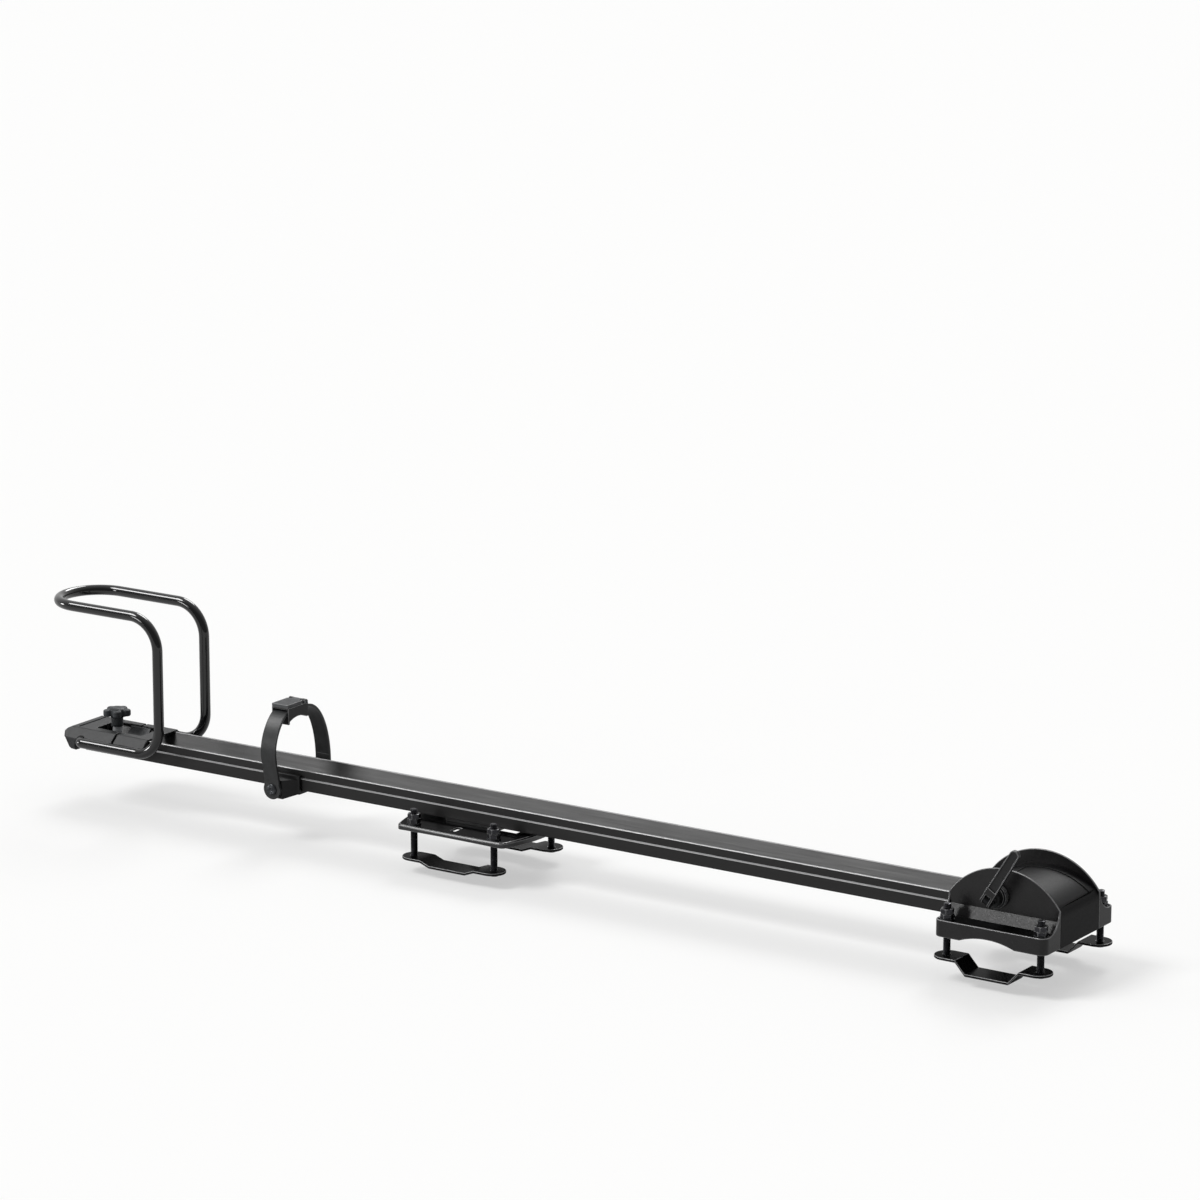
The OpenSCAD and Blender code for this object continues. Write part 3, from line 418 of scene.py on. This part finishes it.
# Clamp bolts
# Carriage bolts of 8 mm with a domed head under the strap's foot and a thread of 1.25 mm pitch, black
# zinc plated. Each strap carries two, and they slide with it through the plates above.
BOLT_RADIUS = 4.0
BOLT_PITCH = 1.25
BOLT_ROOT = 3.3
BOLT_HEAD_RADIUS = 7.6
BOLT_HEAD_HIGH = 3.6
BOLT_NECK_RADIUS = 3.6
BOLT_NECK_HIGH = 1.2
# Shares of the pitch where a thread's crest begins and ends, and the steps in one turn of it
CREST_FROM = 0.42
CREST_TO = 0.56
THREAD_STEPS = 20
# Height where the thread starts inside the neck, and how far its end is drawn in
THREAD_FROM = 0.6
LEAD_IN = 0.84
# Edges of turned pieces under this angle shade smooth
TURNED_UNDER = 35
# Half the distance between two bolts of a strap, half that across the rail, the clamp's middle, the
# underside of the feet, and the bolts' upper ends on each side
FRONT_BOLTS = {"span": 55.5, "track": 64.0, "middle": 0.0, "under": -24.5, "near": 34.0, "far": 34.0}
REAR_BOLTS = {
    "span": 54.0, "track": 56.0, "middle": PLATE_MIDDLE, "under": -33.0, "near": 23.5, "far": 21.0,
}
black_zinc = surface(
    "black_zinc_plate", "#333336", "#4a4a4e", patch=4, grain=0.5, depth=0.006, gloss=(0.16, 0.28),
    Metallic=0.85,
)


def draw_profile(name, points):
    """Draw a line of points in the X and Z plane, in mm, one extruded from the other."""
    bpy.ops.object.select_all(action="DESELECT")
    bpy.ops.mesh.primitive_plane_add(size=1 * MM)
    piece = bpy.context.object
    piece.name = name
    bpy.ops.object.mode_set(mode="EDIT")
    bpy.ops.mesh.select_all(action="SELECT")
    bpy.ops.mesh.merge(type="CENTER")
    bpy.ops.transform.translate(value=(points[0][0] * MM, 0, points[0][1] * MM))
    for start, end in zip(points, points[1:]):
        move = ((end[0] - start[0]) * MM, 0, (end[1] - start[1]) * MM)
        bpy.ops.mesh.extrude_vertices_move(TRANSFORM_OT_translate={"value": move})
    bpy.ops.object.mode_set(mode="OBJECT")
    return piece


def turned(name, points, steps=48):
    """A turned piece: a half profile spun round the Z axis, with its seam closed."""
    piece = draw_profile(name, points)
    bpy.ops.object.mode_set(mode="EDIT")
    bpy.ops.mesh.select_all(action="SELECT")
    bpy.ops.mesh.spin(steps=steps, angle=2 * math.pi, center=(0, 0, 0), axis=(0, 0, 1))
    bpy.ops.mesh.select_all(action="SELECT")
    bpy.ops.mesh.remove_doubles(threshold=0.001 * MM)
    bpy.ops.mesh.normals_make_consistent(inside=False)
    bpy.ops.object.mode_set(mode="OBJECT")
    bpy.ops.object.shade_smooth_by_angle(angle=math.radians(TURNED_UNDER))
    return piece


def joined(name, pieces):
    """Join pieces into one and name it."""
    bpy.ops.object.select_all(action="DESELECT")
    for piece in pieces:
        piece.select_set(True)
    bpy.context.view_layer.objects.active = pieces[0]
    bpy.ops.object.join()
    pieces[0].name = name
    return pieces[0]


def copied_to(name, model, places, turns=None):
    """Copy a model to each place in mm, each with its own mesh, and join the copies into one piece."""
    copies = []
    for index, place in enumerate(places):
        bpy.ops.object.select_all(action="DESELECT")
        model.select_set(True)
        bpy.context.view_layer.objects.active = model
        bpy.ops.object.duplicate(linked=False)
        copy = bpy.context.object
        copy.location = [v * MM for v in place]
        if turns:
            copy.rotation_euler = [math.radians(v) for v in turns[index]]
        bpy.ops.object.transform_apply(location=True, rotation=True, scale=False)
        copies.append(copy)
    return joined(name, copies)


def at_bolts(sizes, sides, height):
    """Places in mm on the bolts of one clamp, on the sides with these signs, at one height."""
    places = []
    for end in (-1, 1):
        for sign in sides:
            places.append((sizes["middle"] + end * sizes["span"], sign * sizes["track"], height))
    return places


def clamp_bolt(name, length):
    """One bolt that stands on the underside of the strap's foot, with its thread up to its length."""
    tooth = [
        (BOLT_ROOT, 0), (BOLT_RADIUS, CREST_FROM * BOLT_PITCH), (BOLT_RADIUS, CREST_TO * BOLT_PITCH),
        (BOLT_ROOT, BOLT_PITCH),
    ]
    thread = draw_profile(name, [(r, z - BOLT_PITCH) for r, z in tooth])
    finish_with(
        thread, "SCREW", axis="Z", angle=2 * math.pi, screw_offset=BOLT_PITCH * MM,
        steps=THREAD_STEPS, render_steps=THREAD_STEPS, iterations=math.ceil(length / BOLT_PITCH) + 2,
        use_merge_vertices=False, use_smooth_shade=False,
    )
    foot = (0, 0, THREAD_FROM * MM)
    tip = (0, 0, length * MM)
    bpy.ops.object.mode_set(mode="EDIT")
    bpy.ops.mesh.select_all(action="SELECT")
    bpy.ops.mesh.remove_doubles(threshold=0.005 * MM)
    bpy.ops.mesh.bisect(plane_co=foot, plane_no=(0, 0, 1), use_fill=True, clear_inner=True)
    bpy.ops.mesh.select_all(action="SELECT")
    bpy.ops.mesh.bisect(plane_co=tip, plane_no=(0, 0, 1), use_fill=True, clear_outer=True)
    # Lead-in chamfer at the end of the thread
    mesh = bmesh.from_edit_mesh(thread.data)
    for vertex in mesh.verts:
        vertex.select_set(vertex.co.z > (length - 0.1) * MM)
    mesh.select_flush_mode()
    bmesh.update_edit_mesh(thread.data)
    bpy.ops.transform.resize(value=(LEAD_IN, LEAD_IN, 1), center_override=tip)
    bpy.ops.mesh.mark_sharp()
    bpy.ops.mesh.select_all(action="SELECT")
    bpy.ops.mesh.normals_make_consistent(inside=False)
    bpy.ops.object.mode_set(mode="OBJECT")
    bpy.ops.object.shade_smooth_by_angle(angle=math.radians(TURNED_UNDER), keep_sharp_edges=True)
    # The dome from its crown out to its rim, and the neck under the foot of the thread
    head = turned(name + "_head", [
        (0, -BOLT_HEAD_HIGH), (3.0, -BOLT_HEAD_HIGH + 0.15), (5.4, -BOLT_HEAD_HIGH + 0.8), (7.0, -1.7),
        (BOLT_HEAD_RADIUS, -0.7), (BOLT_HEAD_RADIUS, 0), (BOLT_NECK_RADIUS, 0),
        (BOLT_NECK_RADIUS, BOLT_NECK_HIGH), (0, BOLT_NECK_HIGH),
    ])
    return joined(name, [thread, head])


for row, sizes in (("front", FRONT_BOLTS), ("rear", REAR_BOLTS)):
    for side, sign in (("near", -1), ("far", 1)):
        corner = row + "_" + side
        model = clamp_bolt(row + "_bolt_model", sizes[side] - sizes["under"])
        bolts = copied_to(corner + "_bolts_threaded", model, at_bolts(sizes, (sign,), sizes["under"]))
        settle(bolts, corner + "_clamp", "black_zinc", black_zinc, corner + "_bolts")
        bpy.data.objects.remove(model)


# Clamp nuts and washers
# Hexagon nuts, 13 mm across flats, with their corners turned off top and bottom, on plain washers. They
# lie in the head's trough and on the rear plate, and draw the straps up. A second nut locks each.
NUT_ACROSS = 13.0
NUT_HIGH = 5.6
NUT_BORE = 4.3
NUT_CHAMFER = 0.7
NUT_EASE = 0.1
LOCK_TURN = 18
WASHER_HIGH = 1.6
nut_corner = NUT_ACROSS / 2 / math.cos(math.radians(30))
bpy.ops.object.select_all(action="DESELECT")
bpy.ops.mesh.primitive_cylinder_add(
    vertices=6, radius=nut_corner * MM, depth=NUT_HIGH * MM, location=(0, 0, NUT_HIGH / 2 * MM),
)
nut = bpy.context.object
bpy.ops.object.transform_apply(location=True, rotation=False, scale=False)
# The lathe's shape, which cuts the corners off and opens the bore at both ends
mouth = NUT_BORE + NUT_CHAMFER
flat_rim = NUT_ACROSS / 2 - NUT_EASE
past_corner = nut_corner + NUT_EASE
turned_off = turned("nut_turning", [
    (mouth, 0), (flat_rim, 0), (past_corner, NUT_CHAMFER), (past_corner, NUT_HIGH - NUT_CHAMFER),
    (flat_rim, NUT_HIGH), (mouth, NUT_HIGH), (NUT_BORE, NUT_HIGH - NUT_CHAMFER),
    (NUT_BORE, NUT_CHAMFER), (mouth, 0),
])
finish_with(nut, "BOOLEAN", operation="INTERSECT", object=turned_off, solver="EXACT")
bpy.data.objects.remove(turned_off)
soften(nut, radius=0.3, steps=2)
# The nuts' rounded edges carry the painted highlight, which stands in for glints
dress(nut, black_zinc, edge_highlight_paint)
places = at_bolts(FRONT_BOLTS, (-1, 1), TRAY_FLOOR + WASHER_HIGH)
places += at_bolts(REAR_BOLTS, (-1, 1), PLATE_TOP + WASHER_HIGH)
nuts = copied_to("clamp_nuts_turned", nut, places)
settle(nuts, "frame", "black_zinc", black_zinc, "clamp_nuts", edge=edge_highlight_paint)
above = [(x, y, z + NUT_HIGH) for x, y, z in places]
locks = copied_to("lock_nuts_turned", nut, above, turns=[(0, 0, LOCK_TURN)] * len(above))
settle(locks, "frame", "black_zinc", black_zinc, "lock_nuts", edge=edge_highlight_paint)
bpy.data.objects.remove(nut)
dressed_copy("clamp_washers", "frame", "black_zinc", black_zinc, radius=0.35)


# Hoop holder
# A plastic moulding that closes the rear end of the rail and slides on it. It seats the hoop's rod in
# its skirts, and a grey moulded cradle sits in the opening on top.
holder_plastic = surface(
    "moulded_glass_filled_nylon", "#222324", "#2c2d2e", patch=6, grain=0.7, depth=0.03,
    gloss=(0.42, 0.55), IOR=1.5,
)
cradle_plastic = surface(
    "moulded_grey_nylon", "#3a3c3e", "#454749", patch=6, grain=0.7, depth=0.02, gloss=(0.45, 0.58),
    IOR=1.5,
)
dressed_copy(
    "hoop_holder", "hoop_carriage", "holder_plastic", holder_plastic, radius=0.9, weld=0.05, inner=True,
)
dressed_copy("tyre_cradle", "hoop_carriage", "cradle_plastic", cradle_plastic, radius=0.5)


# Wheel hoop
# One steel rod of 12 mm, bent twice on each side and round at the back, and painted gloss black. Its
# lower run lies in the holder's skirts.
dressed_copy("wheel_hoop", "hoop_carriage", "hoop_gloss", gloss_paint, radius=0.3)


# Star knob
# A moulded knob with five lobes on a brass insert. Its bright zinc bolt and sleeve pull a steel plate up
# under the rail's floor, which locks the holder.
knob_plastic = surface(
    "moulded_knob_nylon", "#2b2f31", "#373b3e", patch=5, grain=0.8, depth=0.03, gloss=(0.45, 0.58),
    IOR=1.5,
)
bright_zinc = surface(
    "bright_zinc_plate", "#cdd0d3", "#e2e4e6", patch=5, grain=0.5, depth=0.004, gloss=(0.18, 0.3),
    Metallic=0.25,
)
brass = surface(
    "turned_brass", "#a98642", "#bd9a52", patch=5, grain=0.4, depth=0.006, gloss=(0.22, 0.34),
    Metallic=1.0,
)
dressed_copy("star_knob", "knob", "knob_plastic", knob_plastic, radius=1.8, weld=0.03, steps=5)
dressed_copy("knob_insert", "knob", "insert_brass", brass, radius=0.2, steps=2)
for name in ("knob_bolt", "knob_sleeve"):
    dressed_copy(name, "hoop_carriage", "bright_zinc", bright_zinc, radius=0.25, steps=2)
dressed_copy("hoop_clamp_plate", "hoop_carriage", "steel", bare_steel, radius=0.4)


# Wheel strap
# A plastic base that wraps the rail, with an arm riveted to each ear. The arms are bent bands of tough
# plastic with a thin raised rim along both edges.
strap_plastic = surface(
    "moulded_acetal", "#282929", "#323334", patch=8, grain=0.8, depth=0.02, gloss=(0.34, 0.46),
    IOR=1.5,
)
RIM_WIDE = 1.8
RIM_HIGH = 0.45
# The rims run on the band's broad faces: above a height, over a least area, and not on its edges
RIM_FROM = 27.0
BROAD_AREA = 20
MOST_SIDEWAYS = 0.2
dressed_copy("strap_base", "strap_carrier", "black_plastic", plain_plastic, radius=0.7, weld=0.03)
for name, body in (("near_arm", "near_strap"), ("far_arm", "far_strap")):
    arm = welded_copy(name)
    bpy.ops.object.mode_set(mode="EDIT")
    mesh = bmesh.from_edit_mesh(arm.data)
    for face in mesh.faces:
        lowest = min(vertex.co.z for vertex in face.verts) / MM
        broad = abs(face.normal.x) < MOST_SIDEWAYS and face.calc_area() > BROAD_AREA * MM * MM
        face.select_set(broad and lowest > RIM_FROM)
    bmesh.update_edit_mesh(arm.data)
    bpy.ops.mesh.inset(thickness=RIM_WIDE * MM, depth=-RIM_HIGH * MM)
    bpy.ops.object.mode_set(mode="OBJECT")
    soften(arm, radius=0.3, steps=2, sharp=35)
    settle(arm, body, "strap_plastic", strap_plastic, name)


# Strap rivets
# Steel rivets, zinc plated and dull, one through each ear and arm. Each has a wide head with a turned
# ring and a dimple.
RIVET_HIGH = 12.0
RIVET_FACE = 50.3
RIVET_RADIUS = 6.6
SHANK_RADIUS = 2.98
SHANK_LONG = 19
STRAP_X = -944.5
rivet_steel = surface(
    "dull_zinc_steel", "#3f4143", "#57595c", patch=4, grain=0.5, depth=0.01, gloss=(0.3, 0.45),
    Metallic=0.9,
)
# The head from its dimple over the ring to its rim, and the shank
rivet = turned("rivet_model", [
    (0, 1.2), (1.3, 1.2), (1.9, 1.8), (2.9, 2.0), (3.5, 1.6), (4.1, 1.6), (4.6, 1.9), (5.6, 1.6),
    (6.4, 0.9), (RIVET_RADIUS, 0.3), (RIVET_RADIUS, 0), (SHANK_RADIUS, 0),
    (SHANK_RADIUS, -SHANK_LONG), (0, -SHANK_LONG),
])
rivets = copied_to(
    "strap_rivets_turned", rivet,
    [(STRAP_X, -RIVET_FACE, RIVET_HIGH), (STRAP_X, RIVET_FACE, RIVET_HIGH)],
    turns=[(90, 0, 0), (-90, 0, 0)],
)
bpy.data.objects.remove(rivet)
settle(rivets, "strap_carrier", "rivet_steel", rivet_steel, "strap_rivets")


# Buckle
# A moulded box on the near arm that the far arm's band runs through, with a hinged lever on top that
# locks it. The lever's face has a fine raised grid for the thumb.
buckle_plastic = surface(
    "moulded_buckle_grey", "#48494b", "#57595b", patch=6, grain=0.7, depth=0.02, gloss=(0.42, 0.55),
    IOR=1.5,
)
# The buckle body's and lever's rounded edges carry the painted highlight
dressed_copy(
    "buckle_body", "near_strap", "black_plastic", plain_plastic, radius=0.5, weld=0.03, edge=edge_highlight_paint,
)
dressed_copy("buckle_pin", "near_strap", "steel", bare_steel, radius=0.2, steps=2)
dressed_copy("buckle_lever", "buckle", "buckle_grey", buckle_plastic, radius=0.45, edge=edge_highlight_paint)
GRIP_PITCH = 1.5
GRIP_ACROSS = 12
GRIP_ALONG = 17
GRIP_Y = -18.4
GRIP_TOP = 108.25
GRIP_GAP = 0.3
GRIP_RAISE = 0.35
GRIP_BACK = 0.3
bpy.ops.object.select_all(action="DESELECT")
bpy.ops.mesh.primitive_grid_add(
    x_subdivisions=GRIP_ACROSS, y_subdivisions=GRIP_ALONG, size=1 * MM,
    location=(STRAP_X * MM, GRIP_Y * MM, GRIP_TOP * MM),
)
grip = bpy.context.object
grip.name = "buckle_grip"
grip.scale = (GRIP_ACROSS * GRIP_PITCH, GRIP_ALONG * GRIP_PITCH, 1)
bpy.ops.object.transform_apply(location=True, rotation=False, scale=True)
bpy.ops.object.mode_set(mode="EDIT")
bpy.ops.mesh.select_all(action="SELECT")
bpy.ops.mesh.inset(use_individual=True, thickness=GRIP_GAP * MM, depth=GRIP_RAISE * MM)
bpy.ops.object.mode_set(mode="OBJECT")
finish_with(grip, "SOLIDIFY", thickness=GRIP_BACK * MM, offset=-1.0)
settle(grip, "buckle", "buckle_grey", buckle_plastic)


# Floor and light
# A plain floor just under the lower straps at their lowest, white to the camera and grey to the light
# that bounces off it. A dim surround, paler behind the carrier, and four lamps of soft cloth.
FLOOR_HIGH = -48.0
FLOOR_SIZE = 80
LAMP_PLACE = (0, 0, 3)
BEHIND = (-0.45, 0.68, 0.58)


def lamp(name, from_side, energy, spread):
    """A sun lamp that shines from a direction, as wide as a cloth of that many degrees."""
    turn = mathutils.Vector(from_side).to_track_quat("Z", "Y").to_euler()
    bpy.ops.object.light_add(type="SUN", location=LAMP_PLACE, rotation=turn)
    bpy.context.object.name = name
    bpy.context.object.data.energy = energy
    bpy.context.object.data.angle = math.radians(spread)


pale = bpy.data.materials.new("pale_floor")
pale.use_nodes = True
tree = pale.node_tree
tree.nodes.clear()
path = add_node(tree, "LightPath", {})
tone = add_node(tree, "MixRGB", {
    "Fac": path.outputs["Is Camera Ray"], "Color1": linear("#bcbcbc"), "Color2": linear("#f8f8f7"),
})
matt = add_node(tree, "BsdfDiffuse", {"Color": tone.outputs["Color"]})
glow = add_node(tree, "Emission", {"Color": linear("#ffffff"), "Strength": 1.0})
share = add_node(tree, "MapRange", {"Value": path.outputs["Is Camera Ray"], "To Min": 0.0, "To Max": 0.5})
both = add_node(tree, "MixShader", {
    0: share.outputs["Result"], 1: matt.outputs["BSDF"], 2: glow.outputs["Emission"],
})
add_node(tree, "OutputMaterial", {"Surface": both.outputs["Shader"]})
bpy.ops.object.select_all(action="DESELECT")
bpy.ops.mesh.primitive_plane_add(size=FLOOR_SIZE, location=(0, 0, FLOOR_HIGH * MM))
floor = bpy.context.object
floor.name = "floor"
floor.data.materials.append(pale)
world = bpy.data.worlds.new("dim_surround")
world.use_nodes = True
sky = world.node_tree
sky.nodes.clear()
look = add_node(sky, "TexCoord", {})
lean = add_node(sky, "VectorMath", {0: look.outputs["Generated"], 1: BEHIND}, operation="DOT_PRODUCT")
level = add_node(sky, "MapRange", {
    "Value": lean.outputs["Value"], "From Min": -0.2, "From Max": 0.9, "To Min": 0.14, "To Max": 0.6,
})
cloth = add_node(sky, "Background", {"Color": linear("#ffffff"), "Strength": level.outputs["Result"]})
add_node(sky, "OutputWorld", {"Surface": cloth.outputs["Background"]})
bpy.context.scene.world = world
# One lamp high on the left of the camera and one behind
lamp("key_cloth", from_side=(-0.5, -0.42, 0.76), energy=1.5, spread=24)
lamp("back_cloth", from_side=(-0.2, 0.7, 0.68), energy=1.1, spread=24)
# A narrow one low on the left, which draws the long highlights
lamp("side_cloth", from_side=(-0.9, -0.38, 0.1), energy=0.45, spread=12)
# A weak one low in front, which shows in the sloping band of the head
lamp("front_cloth", from_side=(-0.464, -0.865, 0.192), energy=0.3, spread=12)
bpy.context.scene.view_settings.view_transform = "Standard"
